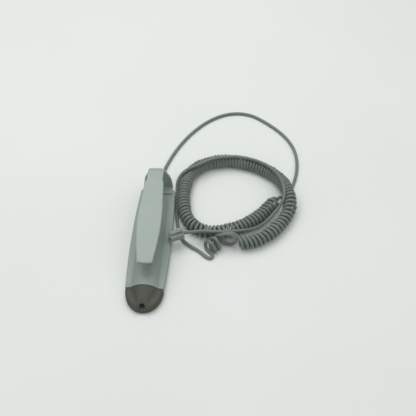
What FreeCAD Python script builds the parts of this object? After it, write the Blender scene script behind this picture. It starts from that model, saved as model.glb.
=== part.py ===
import FreeCAD, Part
import math
import os
import Sketcher

# Clip-on hand unit with a coiled cord and a modular plug.
# Frame: +Y along the hand unit from the dark nose cap to the bend of the clip,
# +X to the side the cord lies on, +Z up. The table is z = 0. Millimetres.

V = FreeCAD.Vector
doc = FreeCAD.newDocument("clip_hand_unit")

# ---------------------------------------------------------------- spreadsheet
sheet = doc.addObject("Spreadsheet::Sheet", "dims")
DIMS = [
    ("nose_y", -69.3), ("seam_y", -50.0), ("rear_y", 57.5), ("wall_y", 60.5), ("boot_end_y", 69.3),
    ("half_wide", 16.8), ("half_rear", 14.6), ("mid_y", 0.5),
    ("lower_tall", 5.4), ("flange_tall", 1.6), ("floor_thick", 1.6), ("wall_thick", 1.8),
    ("dome_half", 11.0), ("dome_rise", 5.2), ("dome_end_y", 43.0), ("shell_thick", 1.8),
    ("nose_slope_z", 2.6), ("nose_slope_run", 5.9), ("nose_slope_rise", 6.85), ("socket_z", 5.6), ("socket_bore", 2.02), ("socket_out", 2.8), ("nose_hole", 2.2),
    ("clip_thick", 2.6), ("bend_out", 12.0), ("bend_y", 48.5), ("bend_z", 24.0),
    ("bow_radius", 400.0), ("bow_run", 72.5), ("tip_run", 16.0),
    ("arm_crest_half", 6.5), ("arm_mid_half", 9.8), ("arm_tip_half", 6.0),
    ("hinge_y", 59.2), ("hinge_z", 20.0), ("hinge_gap", 0.4),
    ("foot_front_y", 51.6), ("foot_half", 11.5), ("foot_thick", 1.6),
    ("board_half", 8.5), ("board_front_y", -41.0), ("board_rear_y", 21.0), ("board_z", 3.4), ("board_thick", 1.4),
    ("cord_dia", 2.8), ("cord_z", 3.4), ("coil_dia", 12.0), ("boot_root", 3.1), ("boot_tip", 2.4),
    ("plug_long", 11.8), ("plug_wide", 7.6), ("plug_tall", 5.8), ("latch_thick", 1.0),
    ("pad_thick", 5.0), ("screw_head", 2.0), ("screw_shank", 1.0),
]
D = {}
for i, (name, value) in enumerate(DIMS):
    sheet.set("A%d" % (i + 1), name)
    sheet.set("B%d" % (i + 1), "%.4f" % value)
    sheet.setAlias("B%d" % (i + 1), name)
    D[name] = value
doc.recompute()

NODES = []


def plane(body, role):
    for f in body.Origin.OriginFeatures:
        if f.Role == role:
            return f
    raise RuntimeError("no plane " + role)


def new_body(label):
    b = doc.addObject("PartDesign::Body", label)
    b.Label = label
    NODES.append(b)
    return b


def sketch(body, role, offset, geometry, name, expr=None):
    """A sketch on one of the body's origin planes, pushed along the plane's normal."""
    s = doc.addObject("Sketcher::SketchObject", body.Label + "_" + name)
    body.addObject(s)
    s.AttachmentSupport = [(plane(body, role), "")]
    s.MapMode = "FlatFace"
    s.AttachmentOffset = FreeCAD.Placement(V(0, 0, offset), FreeCAD.Rotation())
    if expr:
        s.setExpression("AttachmentOffset.Base.z", expr)
    for g in geometry:
        s.addGeometry(g, False)
    s.Visibility = False
    return s


def pad(body, sk, expr, name, mid=False, rev=False):
    p = doc.addObject("PartDesign::Pad", body.Label + "_" + name)
    body.addObject(p)
    p.Profile = sk
    p.setExpression("Length", expr)
    if mid:
        p.Midplane = True
    if rev:
        p.Reversed = True
    return p


def pocket(body, sk, expr, name, mid=False, rev=False):
    p = doc.addObject("PartDesign::Pocket", body.Label + "_" + name)
    body.addObject(p)
    p.Profile = sk
    if expr is None:
        p.Type = 1
    else:
        p.setExpression("Length", expr)
    if mid:
        p.Midplane = True
    if rev:
        p.Reversed = True
    return p


def round_low_edges(body, feature, radius, name):
    """Rounds the long edges of a feature that lie on z = 0."""
    doc.recompute()
    names = []
    for k, e in enumerate(feature.Shape.Edges):
        if e.BoundBox.ZMax < 0.01 and e.Length > 3.5 and abs(e.BoundBox.YMax - D["seam_y"]) + abs(e.BoundBox.YMin - D["seam_y"]) > 0.01:
            names.append("Edge%d" % (k + 1))
    f = doc.addObject("PartDesign::Fillet", body.Label + "_" + name)
    body.addObject(f)
    f.Base = (feature, names)
    f.Radius = radius
    return f


def seg(a, b):
    return Part.LineSegment(V(a[0], a[1], 0), V(b[0], b[1], 0))


def arc(a, m, b):
    return Part.Arc(V(a[0], a[1], 0), V(m[0], m[1], 0), V(b[0], b[1], 0))


def poly(pts):
    return [seg(pts[i], pts[(i + 1) % len(pts)]) for i in range(len(pts))]


def circ(x, y, r):
    return Part.Circle(V(x, y, 0), V(0, 0, 1), r)


def rect(x0, y0, x1, y1):
    return poly([(x0, y0), (x1, y0), (x1, y1), (x0, y1)])


# ------------------------------------------------ plan outline of the housing
HW, MY = D["half_wide"], D["mid_y"]
SIDE_R = ((D["rear_y"] - MY) ** 2 + (HW - D["half_rear"]) ** 2) / (2 * (HW - D["half_rear"]))


def half(y, inset=0.0):
    """Half width of the housing in plan at y."""
    return HW - SIDE_R + math.sqrt(SIDE_R ** 2 - (y - MY) ** 2) - inset


def outline(y0, y1, inset=0.0, corner=4.0):
    """Closed plan outline between y0 (square end) and y1 (rear, cut corners)."""
    h0, hm, h1 = half(y0, inset), half(0.5 * (y0 + y1 - corner), inset), half(y1 - corner, inset)
    ym = 0.5 * (y0 + y1 - corner)
    c = corner
    k = c * (1 - math.sqrt(0.5))
    hr = half(y1, inset)
    return [arc((h0, y0), (hm, ym), (h1, y1 - c)),
            arc((h1, y1 - c), (hr - k, y1 - k), (hr - c, y1)),
            seg((hr - c, y1), (-(hr - c), y1)),
            arc((-(hr - c), y1), (-(hr - k), y1 - k), (-h1, y1 - c)),
            arc((-h1, y1 - c), (-hm, ym), (-h0, y0)),
            seg((-h0, y0), (h0, y0))]


SEAM, REAR = D["seam_y"], D["rear_y"]
LT, FT = D["lower_tall"], D["flange_tall"]
DECK = LT + FT
SCREWS = [(-9.6, -45.0), (9.6, -45.0), (-9.6, 30.0), (9.6, 30.0)]
BOARD_SCREWS = [(-6.0, -37.5), (6.0, 17.5)]
CLAMP_X = 5.0
CLIP_X = 6.5
BOW_A = math.asin(D["bow_run"] / D["bow_radius"])

# ------------------------------------------------------------------ lower shell
b = new_body("lower_shell")
s = sketch(b, "XY_Plane", 0, outline(SEAM, REAR), "plan")
p = pad(b, s, "dims.lower_tall", "tray")
p = round_low_edges(b, p, 1.5, "rounded_foot")
s = sketch(b, "XY_Plane", D["floor_thick"], outline(SEAM + 1.8, REAR - 1.8, D["wall_thick"]), "hollow", "dims.floor_thick")
p = pocket(b, s, "dims.lower_tall", "inside", rev=True)
s = sketch(b, "XY_Plane", D["floor_thick"], [circ(x, y, 2.7) for x, y in SCREWS], "bosses", "dims.floor_thick")
p = pad(b, s, "dims.lower_tall - dims.floor_thick", "screw_bosses")
s = sketch(b, "XY_Plane", D["floor_thick"], [circ(x, y, 1.9) for x, y in BOARD_SCREWS] + [circ(-x, y, 1.5) for x, y in BOARD_SCREWS], "posts", "dims.floor_thick")
p = pad(b, s, "dims.board_z - dims.floor_thick", "board_posts")
s = sketch(b, "XY_Plane", D["floor_thick"], [circ(-CLAMP_X, 48.5, 1.7), circ(CLAMP_X, 48.5, 1.7)], "saddles", "dims.floor_thick")
p = pad(b, s, "dims.board_z - dims.floor_thick", "clamp_posts")
s = sketch(b, "XY_Plane", 0, [circ(x, y, 1.15) for x, y in SCREWS], "screw_ways")
p = pocket(b, s, None, "screw_holes", rev=True)
s = sketch(b, "XY_Plane", 0, [circ(x, y, 2.25) for x, y in SCREWS], "head_ways")
p = pocket(b, s, "1.5", "head_recesses", rev=True)
s = sketch(b, "XY_Plane", D["board_z"], [circ(x, y, 0.85) for x, y in BOARD_SCREWS] + [circ(-CLAMP_X, 48.5, 0.85), circ(CLAMP_X, 48.5, 0.85)], "pilot_ways", "dims.board_z")
p = pocket(b, s, "1.7", "pilot_holes")
s = sketch(b, "XZ_Plane", -REAR - 0.5, [circ(0, D["cord_z"], D["boot_root"] + 0.03)], "cord_way")
p = pocket(b, s, "4", "cord_hole", rev=True)
s = sketch(b, "XZ_Plane", -SEAM + 0.5, [circ(0, D["socket_z"], D["socket_out"] + 0.4)], "socket_way")
p = pocket(b, s, "3", "socket_hole")
doc.recompute()
lower = b

# ------------------------------------------------------------------ upper shell
b = new_body("upper_shell")
s = sketch(b, "XY_Plane", LT, outline(SEAM, REAR), "plan", "dims.lower_tall")
p = pad(b, s, "dims.flange_tall", "deck")
DR = (D["dome_half"] ** 2 + D["dome_rise"] ** 2) / (2 * D["dome_rise"])
DZ = DECK + D["dome_rise"] - DR


def dome_profile(halfw, radius, zc, base):
    zt = zc + radius
    zb = zc + math.sqrt(radius ** 2 - halfw ** 2)
    g = [arc((-halfw, zb), (0, zt), (halfw, zb))]
    if zb > base + 1e-6:
        g += [seg((halfw, zb), (halfw, base)), seg((halfw, base), (-halfw, base)), seg((-halfw, base), (-halfw, zb))]
    else:
        g += [seg((halfw, zb), (-halfw, zb))]
    return g


s = sketch(b, "XZ_Plane", -SEAM, dome_profile(D["dome_half"] - 0.001, DR, DZ, DECK - 0.2), "ridge")
p = pad(b, s, "dims.dome_end_y - dims.seam_y", "dome", rev=True)
ridge = p
inner_half = math.sqrt((DR - D["shell_thick"]) ** 2 - (LT - DZ) ** 2)
s = sketch(b, "XZ_Plane", -(SEAM + 1.8), dome_profile(inner_half - 0.001, DR - D["shell_thick"], DZ, LT - 0.5), "void")
p = pocket(b, s, "dims.dome_end_y - dims.seam_y - 2*dims.shell_thick", "inside")
s = sketch(b, "XY_Plane", LT, [circ(x, y, 2.7) for x, y in SCREWS], "bosses", "dims.lower_tall")
p = pad(b, s, "1.9", "screw_bosses")
s = sketch(b, "XY_Plane", LT, [circ(x, y, 1.05) for x, y in SCREWS], "screw_ways", "dims.lower_tall")
p = pocket(b, s, "1.5", "screw_holes", rev=True)
s = sketch(b, "XY_Plane", LT, [circ(-CLIP_X, 53.7, 1.05), circ(CLIP_X, 53.7, 1.05)], "clip_ways", "dims.lower_tall")
p = pocket(b, s, None, "clip_holes", rev=True)
s = sketch(b, "XZ_Plane", -REAR - 0.5, [circ(0, D["cord_z"], D["boot_root"] + 0.03)], "cord_way")
p = pocket(b, s, "4", "cord_hole", rev=True)
s = sketch(b, "XZ_Plane", -SEAM + 0.5, [circ(0, D["socket_z"], D["socket_out"] + 0.4)], "socket_way")
p = pocket(b, s, "3", "socket_hole")
doc.recompute()
upper = b

# ------------------------------------------------------------------ nose cap
b = new_body("nose_cap")
hs = half(SEAM)
NY = D["nose_y"]


def nose_plan(half_w, y_back, y_tip):
    """Half an ellipse closed by its chord."""
    e = Part.Ellipse(V(0, y_tip, 0), V(half_w, y_back, 0), V(0, y_back, 0))
    if y_back - y_tip <= half_w:
        raise RuntimeError("the nose must be longer than half its width")
    return [Part.ArcOfEllipse(e, -math.pi / 2, math.pi / 2), seg((half_w, y_back), (-half_w, y_back))]


s = sketch(b, "XY_Plane", 0, nose_plan(hs, SEAM, NY), "plan")
p = pad(b, s, "dims.lower_tall + dims.flange_tall", "cup")
p = round_low_edges(b, p, 1.5, "rounded_foot")
s = sketch(b, "XZ_Plane", -SEAM, dome_profile(D["dome_half"] - 0.001, DR, DZ, DECK - 0.3), "ridge_rear")
s2 = sketch(b, "XZ_Plane", -(NY + D["nose_slope_run"]), dome_profile(4.8, 5.4, D["nose_slope_z"] + D["nose_slope_rise"] - 5.4, DECK - 1.6), "ridge_front")
p = doc.addObject("PartDesign::AdditiveLoft", "nose_cap_boss")
b.addObject(p)
p.Profile = s
p.Sections = [s2]
p.Ruled = True
doc.recompute()
# the inside is a smaller cup, open at the seam
si = nose_plan(hs - 2.0, SEAM + 0.1, NY + 5.6)
s = sketch(b, "XY_Plane", D["floor_thick"], si, "hollow", "dims.floor_thick")
p = pocket(b, s, "dims.lower_tall + dims.flange_tall - dims.floor_thick - 1.6", "inside", rev=True)
# collar that carries the socket, then the bore through it
s = sketch(b, "XZ_Plane", -(NY + 3.0), [circ(0, D["socket_z"], 3.7)], "collar_plan")
s.setExpression("AttachmentOffset.Base.z", "-(dims.nose_y + 3)")
p = pad(b, s, "10.5", "collar", rev=True)
# the sloping front face
k = D["nose_slope_rise"] / D["nose_slope_run"]
s = sketch(b, "YZ_Plane", 0, poly([(NY - 2.0, D["nose_slope_z"] - 2.0 * k), (NY + D["nose_slope_run"], D["nose_slope_z"] + D["nose_slope_rise"]), (NY + D["nose_slope_run"], 16.0), (NY - 2.0, 16.0)]), "slope_side")
p = pocket(b, s, "40", "slope", mid=True)
s = sketch(b, "XZ_Plane", -(NY - 1.0), [circ(0, D["socket_z"], D["nose_hole"])], "bore_plan")
p = pocket(b, s, "8.0", "bore")
s = sketch(b, "XZ_Plane", -(NY + 7.0), [circ(0, D["socket_z"], D["socket_out"] + 0.03)], "seat_plan")
p = pocket(b, s, "18.0", "seat")
NUT_Y = NY + 13.6
NUT = [(4.04 * math.cos(math.radians(60 * k)), D["socket_z"] + 4.04 * math.sin(math.radians(60 * k))) for k in range(6)]
s = sketch(b, "XZ_Plane", -(NUT_Y - 0.2), poly([(x * 1.04, D["socket_z"] + (z - D["socket_z"]) * 1.03) for x, z in NUT]), "nut_plan")
p = pocket(b, s, "12.0", "nut_way")
doc.recompute()
cap = b


def solid_body(label, role, offset, geometry, length, rev=False, mid=False):
    bb = new_body(label)
    ss = sketch(bb, role, offset, geometry, "plan")
    pad(bb, ss, length, "pad", mid=mid, rev=rev)
    return bb


# ------------------------------------------------------------------ ground socket and its nut
b = new_body("ground_socket")
s = sketch(b, "XZ_Plane", -(NY + 7.05), [circ(0, D["socket_z"], D["socket_out"])], "barrel_plan")
p = pad(b, s, "14", "barrel", rev=True)
s = sketch(b, "XZ_Plane", -(NY + 7.05), [circ(0, D["socket_z"], D["socket_bore"])], "bore_plan")
p = pocket(b, s, "12", "bore")
s = sketch(b, "XZ_Plane", -(NY + 21.05), rect(-1.0, D["socket_z"] - 0.4, 1.0, D["socket_z"] + 0.4), "tail_plan")
p = pad(b, s, "3.5", "solder_tail", rev=True)
b = new_body("socket_nut")
s = sketch(b, "XZ_Plane", -NUT_Y, [circ(0, D["socket_z"], D["socket_out"] + 0.03)] + poly(NUT), "ring_plan")
p = pad(b, s, "2", "ring", rev=True)

# ------------------------------------------------------------------ board and what sits on it
b = new_body("circuit_board")
s = sketch(b, "XY_Plane", D["board_z"], rect(-D["board_half"], D["board_front_y"], D["board_half"], D["board_rear_y"]) + [circ(x, y, 0.95) for x, y in BOARD_SCREWS], "plan", "dims.board_z")
p = pad(b, s, "dims.board_thick", "board")
BT = D["board_z"] + D["board_thick"]


def grouped(label, parts):
    """One Part::Feature made of several separate equal solids."""
    f = doc.addObject("Part::Feature", label)
    f.Label = label
    f.Shape = Part.makeCompound(parts)
    NODES.append(f)
    return f


def screw(x, y, z_head, head_r, head_t, shank_r, z_tip, up=True):
    """A screw along Z: the head's flat side at z_head, the shank to z_tip."""
    sgn = 1.0 if z_tip > z_head else -1.0
    head = Part.makeCylinder(head_r, head_t, V(x, y, z_head - sgn * head_t), V(0, 0, sgn))
    shank = Part.makeCylinder(shank_r, abs(z_tip - z_head) + 0.2, V(x, y, z_head - sgn * 0.2), V(0, 0, sgn))
    slot = Part.makeBox(head_r * 1.5, 0.5, head_t * 0.5)
    slot.translate(V(x - head_r * 0.75, y - 0.25, z_head - sgn * head_t if sgn > 0 else z_head + head_t * 0.5))
    return head.fuse(shank).cut(slot).removeSplitter()


grouped("housing_screws", [screw(x, y, 1.5, D["screw_head"], 1.1, D["screw_shank"], 6.7) for x, y in SCREWS])
grouped("board_screws", [screw(x, y, BT, 1.6, 0.9, 0.82, 2.0) for x, y in BOARD_SCREWS])

b = new_body("series_resistor")
s = sketch(b, "XZ_Plane", 24.0, [circ(-4.6, BT + 1.4, 1.2)], "core_plan")
p = pad(b, s, "6.4", "core", rev=True)
s = sketch(b, "XZ_Plane", 27.0, [circ(-4.6, BT + 1.4, 0.3)], "lead_plan")
p = pad(b, s, "12.4", "leads", rev=True)
s = sketch(b, "XY_Plane", BT, [circ(-4.6, -26.8, 0.3), circ(-4.6, -14.8, 0.3)], "feet_plan")
p = pad(b, s, "1.4", "feet")
solid_body("interface_chip", "XY_Plane", BT, rect(-2.5, -6.0, 2.5, 0.0), "1.5")
b = new_body("cord_header")
s = sketch(b, "XY_Plane", BT, rect(-5.2, 8.0, 5.2, 14.5), "plan")
p = pad(b, s, "3.6", "block")
s = sketch(b, "XZ_Plane", -14.5, [circ(x, BT + 1.8, 0.62) for x in (-3.6, -1.2, 1.2, 3.6)], "ways")
p = pocket(b, s, "4", "wire_ways", rev=True)
doc.recompute()


# ------------------------------------------------------------------ tubes along polylines
def round_path(points, share=0.45):
    """Straight runs joined by tangent arcs, returned as a wire and the arc radii."""
    pts = [V(*q) for q in points]
    edges, radii = [], []
    last = pts[0]
    for i in range(1, len(pts) - 1):
        a, c, e = pts[i - 1], pts[i], pts[i + 1]
        d1, d2 = (c - a), (e - c)
        l1, l2 = d1.Length, d2.Length
        d1.normalize()
        d2.normalize()
        turn = math.acos(max(-1.0, min(1.0, d1.dot(d2))))
        t = share * min(l1, l2)
        radii.append(t / math.tan(turn / 2))
        p1, p2 = c - d1 * t, c + d2 * t
        bis = (d2 - d1)
        bis.normalize()
        r = radii[-1]
        centre = c + bis * (r / math.cos(turn / 2))
        mid = centre - bis * r
        edges.append(Part.LineSegment(last, p1).toShape())
        edges.append(Part.Arc(p1, mid, p2).toShape())
        last = p2
    edges.append(Part.LineSegment(last, pts[-1]).toShape())
    return Part.Wire(edges), radii


def tube(label, points, radius, report=True):
    wire, radii = round_path(points)
    first = V(*points[1]) - V(*points[0])
    prof = Part.Wire([Part.Circle(V(*points[0]), first, radius).toShape()])
    sh = wire.makePipeShell([prof], True, False)
    if sh.ShapeType != "Solid":
        sh = Part.Solid(sh) if sh.ShapeType == "Shell" else sh
    if report:
        print(label, "arc radii", " ".join("%.1f" % r for r in radii), "length %.1f" % wire.Length,
              "volume %.1f vs %.1f" % (sh.Volume, math.pi * radius ** 2 * wire.Length))
    return sh, wire.Length


def tube_node(label, points, radius):
    sh, length = tube(label, points, radius)
    f = doc.addObject("Part::Feature", label)
    f.Label = label
    f.Shape = sh
    NODES.append(f)
    return f


# ------------------------------------------------------------------ wires inside the housing
HZ = BT + 1.8
inner = []
for x0, x1 in ((-0.75, -3.6), (-0.25, -1.2), (0.25, 1.2), (0.75, 3.6)):
    z0 = D["cord_z"] + (0.45 if abs(x0) < 0.5 else -0.3)
    sh, _ = tube("conductor", [(x0 * 1.3, 42.9, z0), (x0 * 1.3, 37.0, z0 + 0.3), (x1, 26.0, HZ), (x1, 11.0, HZ)], 0.42, False)
    inner.append(sh)
grouped("cord_conductors", inner)
sh, _ = tube("socket_wire", [(0, NY + 24.7, D["socket_z"]), (0.6, NY + 28.3, D["socket_z"] + 1.5), (2.4, NY + 32.0, BT + 2.6), (3.4, NY + 35.6, BT + 1.6), (3.6, NY + 38.6, BT + 0.3)], 0.5, False)
f = doc.addObject("Part::Feature", "socket_wire")
f.Label = "socket_wire"
f.Shape = sh
NODES.append(f)

# ------------------------------------------------------------------ cord clamp, jacket end and boot
b = new_body("cord_clamp")
s = sketch(b, "XY_Plane", D["board_z"] + 0.1, rect(-7.2, 46.2, 7.2, 50.8) + [circ(-CLAMP_X, 48.5, 0.9), circ(CLAMP_X, 48.5, 0.9)], "plan")
p = pad(b, s, "1.75", "bar")
s = sketch(b, "XZ_Plane", -46.0, [circ(0, D["cord_z"], D["cord_dia"] / 2 + 0.03)], "groove_plan")
p = pocket(b, s, "6", "groove")
s = sketch(b, "XY_Plane", D["board_z"] + 1.85, [circ(-CLAMP_X, 48.5, 1.5), circ(CLAMP_X, 48.5, 1.5)], "head_plan")
p = pocket(b, s, "0.7", "head_recesses")
grouped("clamp_screws", [screw(x, 48.5, D["board_z"] + 1.15, 1.4, 0.6, 0.8, 1.9) for x in (-CLAMP_X, CLAMP_X)])

f = doc.addObject("Part::Cylinder", "cord_entry")
f.Label = "cord_entry"
f.setExpression("Radius", "dims.cord_dia / 2")
f.setExpression("Height", "dims.boot_end_y - 43")
f.Placement = FreeCAD.Placement(V(0, 43.0, D["cord_z"]), FreeCAD.Rotation(V(1, 0, 0), -90))
NODES.append(f)

b = new_body("strain_relief")
bt, br, ye = D["boot_tip"], D["boot_root"], D["boot_end_y"]
cr = D["cord_dia"] / 2 + 0.03
s = doc.addObject("Sketcher::SketchObject", "strain_relief_profile")
b.addObject(s)
s.AttachmentSupport = [(plane(b, "YZ_Plane"), "")]
s.MapMode = "FlatFace"
cz = D["cord_z"]
prof = [(54.0, cz + cr), (ye, cz + cr), (ye, cz + bt), (ye - 9.6, cz + br), (58.6, cz + br), (55.6, cz + br), (55.6, cz + 1.98), (54.0, cz + 1.98)]
for g in poly(prof):
    s.addGeometry(g, False)
p = doc.addObject("PartDesign::Revolution", "strain_relief_turned")
b.addObject(p)
p.Profile = s
cl = Part.LineSegment(V(50.0, cz, 0), V(75.0, cz, 0))
s.addGeometry(cl, True)
p.ReferenceAxis = (s, ["Axis0"])
p.Angle = 360.0
doc.recompute()

# ------------------------------------------------------------------ clip: fixed leg
T = D["clip_thick"]
WY = D["wall_y"]
b = new_body("clip_root")
s = sketch(b, "YZ_Plane", 0, poly([(D["foot_front_y"], DECK), (WY, DECK), (WY, D["hinge_z"] - D["hinge_gap"] / 2), (WY - T, D["hinge_z"] - D["hinge_gap"] / 2),
                                   (WY - T, DECK + D["foot_thick"]), (D["foot_front_y"], DECK + D["foot_thick"])]), "profile")
p = pad(b, s, "2*dims.foot_half + 4", "leg", mid=True)
fh = D["foot_half"]
s = sketch(b, "XZ_Plane", -40.0, poly([(fh + 1.4, DECK - 1), (20, DECK - 1), (20, 30), (11.0, 30), (fh + 0.2, D["hinge_z"])]) + poly([(-(fh + 1.4), DECK - 1), (-20, DECK - 1), (-20, 30), (-11.0, 30), (-(fh + 0.2), D["hinge_z"])]), "sides")
p = pocket(b, s, "30", "taper")
s = sketch(b, "XY_Plane", DECK, [circ(-CLIP_X, 53.7, 0.95), circ(CLIP_X, 53.7, 0.95)], "clip_ways")
p = pocket(b, s, "1.2", "clip_holes", rev=True)
grouped("clip_screws", [screw(x, 53.7, LT, 1.7, 1.1, 0.92, DECK + 1.1) for x in (-CLIP_X, CLIP_X)])
doc.recompute()

# ------------------------------------------------------------------ clip: bend and arm
b = new_body("clip_arm")
by, bz, bo, br_ = D["bend_y"], D["bend_z"], D["bend_out"], D["bow_radius"]
z0 = D["hinge_z"] + D["hinge_gap"] / 2
ca, sa = math.cos(BOW_A), math.sin(BOW_A)
cz2 = bz + bo - br_
ro, ri = br_, br_ - T
tr = D["tip_run"]
o_end = (by - ro * sa, cz2 + ro * ca)
i_end = (by - ri * sa, cz2 + ri * ca)
o_mid = (by - ro * math.sin(BOW_A / 2), cz2 + ro * math.cos(BOW_A / 2))
i_mid = (by - ri * math.sin(BOW_A / 2), cz2 + ri * math.cos(BOW_A / 2))
o_tip = (o_end[0] - tr * ca, o_end[1] - tr * sa)
i_tip = (i_end[0] - tr * ca, i_end[1] - tr * sa)
q = math.sqrt(0.5)
s = sketch(b, "YZ_Plane", 0, [seg((WY, z0), (WY, bz)), arc((WY, bz), (by + bo * q, bz + bo * q), (by, bz + bo)),
                              arc((by, bz + bo), o_mid, o_end), seg(o_end, o_tip), seg(o_tip, i_tip), seg(i_tip, i_end),
                              arc(i_end, i_mid, (by, bz + bo - T)), arc((by, bz + bo - T), (by + (bo - T) * q, bz + (bo - T) * q), (WY - T, bz)),
                              seg((WY - T, bz), (WY - T, z0)), seg((WY - T, z0), (WY, z0))], "profile")
p = pad(b, s, "2*dims.foot_half + 4", "strip", mid=True)
ch, mh, th_ = D["arm_crest_half"], D["arm_mid_half"], D["arm_tip_half"]
side = [(th_, -41.0), (th_ + 0.1, -39.0), (8.1, -24.0), (9.5, -12.0), (mh, -3.0), (mh, 5.0), (9.1, 18.0), (7.7, 35.0), (ch, by), (20, by), (20, -41.0)]
s = sketch(b, "XY_Plane", 60.0, poly(side) + poly([(-x, y) for x, y in side]), "plan_sides")
p = pocket(b, s, "60", "waist")
shoulder = [(fh + 0.2, D["hinge_z"] - 1), (20, D["hinge_z"] - 1), (20, 40), (ch, 40), (ch, 31.0), (7.5, 28.0), (8.9, 25.0), (10.4, 22.6), (fh, 20.2)]
s = sketch(b, "XZ_Plane", -by, poly(shoulder) + poly([(-x, z) for x, z in shoulder]), "rear_sides")
p = pocket(b, s, "30", "shoulders")
doc.recompute()

b = new_body("grip_pad")
pt = D["pad_thick"]
py0, py1 = 3.4, 9.0


def on_tip(run, drop):
    return (i_tip[0] + run * ca + drop * sa, i_tip[1] + run * sa - drop * ca)


s = sketch(b, "YZ_Plane", 0, poly([on_tip(1.2, 0), on_tip(7.2, 0), on_tip(6.2, pt), on_tip(2.2, pt)]), "profile")
p = pad(b, s, "9", "pad", mid=True)
doc.recompute()

# ------------------------------------------------------------------ modular plug, in its own frame
# local +X from the front face to the cord, +Y across, +Z towards the latch
PL, PW, PT = D["plug_long"], D["plug_wide"], D["plug_tall"]
PLUG = FreeCAD.Placement(V(15.5, -0.7, 8.4), FreeCAD.Rotation(V(0, 0, 1), 22.0).multiply(FreeCAD.Rotation(V(0, 1, 0), -3.0)))
b = new_body("plug_housing")
s = sketch(b, "XY_Plane", 0, rect(0, -PW / 2, PL, PW / 2), "plan")
p = pad(b, s, "dims.plug_tall", "block")
s = sketch(b, "YZ_Plane", PL, rect(-1.9, 1.3, 1.9, 4.5), "mouth")
p = pocket(b, s, "6.0", "cord_mouth")
s = sketch(b, "YZ_Plane", PL - 6.0, rect(-2.6, 1.3, 2.6, 2.9), "ways")
p = pocket(b, s, "4.6", "wire_ways")
s = sketch(b, "XY_Plane", 0, rect(1.0, -2.7, 5.2, -1.9) + rect(1.0, -1.2, 5.2, -0.4) + rect(1.0, 0.4, 5.2, 1.2) + rect(1.0, 1.9, 5.2, 2.7), "blades")
p = pocket(b, s, "1.29", "blade_slots", rev=True)
b.Placement = PLUG

blades = []
for y in (-2.3, -0.8, 0.8, 2.3):
    bx = Part.makeBox(3.6, 0.5, 1.2, V(1.3, y - 0.25, 0.05))
    blades.append(bx)
f = grouped("plug_contacts", blades)
f.Placement = PLUG
wires = [Part.makeCylinder(0.4, 3.9, V(1.7, y, 2.1), V(1, 0, 0)) for y in (-2.05, -0.75, 0.75, 2.05)]
f = grouped("plug_conductors", wires)
f.Placement = PLUG
b = new_body("plug_wedge")
s = sketch(b, "XZ_Plane", 0, poly([(8.0, 4.55), (8.0, 5.85), (9.6, 5.85), (9.6, 4.55)]), "profile")
p = pad(b, s, "3.6", "bar", mid=True)
b.Placement = PLUG
# the wedge sits in a window of the housing
hb = [n for n in NODES if n.Label == "plug_housing"][0]
s = sketch(hb, "XY_Plane", PT, rect(7.95, -1.85, 9.65, 1.85), "wedge_plan")
p = pocket(hb, s, "1.35", "wedge_window")
b = new_body("plug_jacket")
s = sketch(b, "YZ_Plane", 5.9, [circ(0, 2.9, D["cord_dia"] / 2 - 0.03)], "plan")
p = pad(b, s, "dims.plug_long - 5.9", "core")
b.Placement = PLUG
b = new_body("plug_latch")
LK = D["latch_thick"]
s = sketch(b, "XZ_Plane", 0, poly([(0.6, PT + 0.3), (0.6, PT + 0.3 + LK), (5.0, PT + 0.9 + LK), (12.6, PT + 3.3 + LK * 0.9), (12.8, PT + 3.3), (5.2, PT + 0.9), (1.9, PT + 0.3)]), "profile")
p = pad(b, s, "3.2", "tab", mid=True)
b.Placement = PLUG
doc.recompute()

# ------------------------------------------------------------------ the free cord
LEAD = [(0.0, 69.3, 3.4), (0.6, 78.5, 1.7), (3.4, 91.5, 1.5), (10.6, 113.5, 1.5), (22.0, 136.0, 1.5), (38.5, 157.0, 1.5),
        (58.5, 169.5, 1.5), (79.5, 169.0, 1.5), (98.0, 155.0, 1.5), (113.5, 138.5, 1.5), (122.5, 119.0, 1.5), (124.2, 99.0, 1.5),
        (121.4, 80.0, 1.5), (116.6, 66.0, 1.5), (111.0, 57.0, 2.0), (105.3, 52.4, 6.0)]
COIL = [(105.3, 52.4, 6.0), (97.9, 42.5, 6.0), (86.4, 27.0, 6.0), (69.7, 15.9, 6.0), (52.3, 9.9, 6.0), (37.0, 12.9, 6.0),
        (27.3, 24.2, 6.0), (22.9, 42.4, 6.0), (22.7, 62.9, 6.0), (26.7, 79.9, 6.0), (38.2, 92.0, 6.0), (57.2, 98.0, 6.0),
        (77.4, 95.7, 6.0), (96.6, 86.4, 6.0), (107.8, 75.5, 6.5), (113.4, 59.8, 9.7), (115.8, 46.8, 9.5), (114.5, 36.2, 6.3),
        (107.5, 22.5, 6.0), (94.9, 8.1, 6.0), (82.5, 1.8, 6.0), (71.8, 0.8, 6.0), (63.0, 2.5, 6.0), (53.6, -0.6, 6.0),
        (46.2, -7.9, 6.0)]
rear_axis = PLUG.multVec(V(PL, 0, 2.9))
rear_dir = PLUG.Rotation.multVec(V(1, 0, 0))
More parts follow.
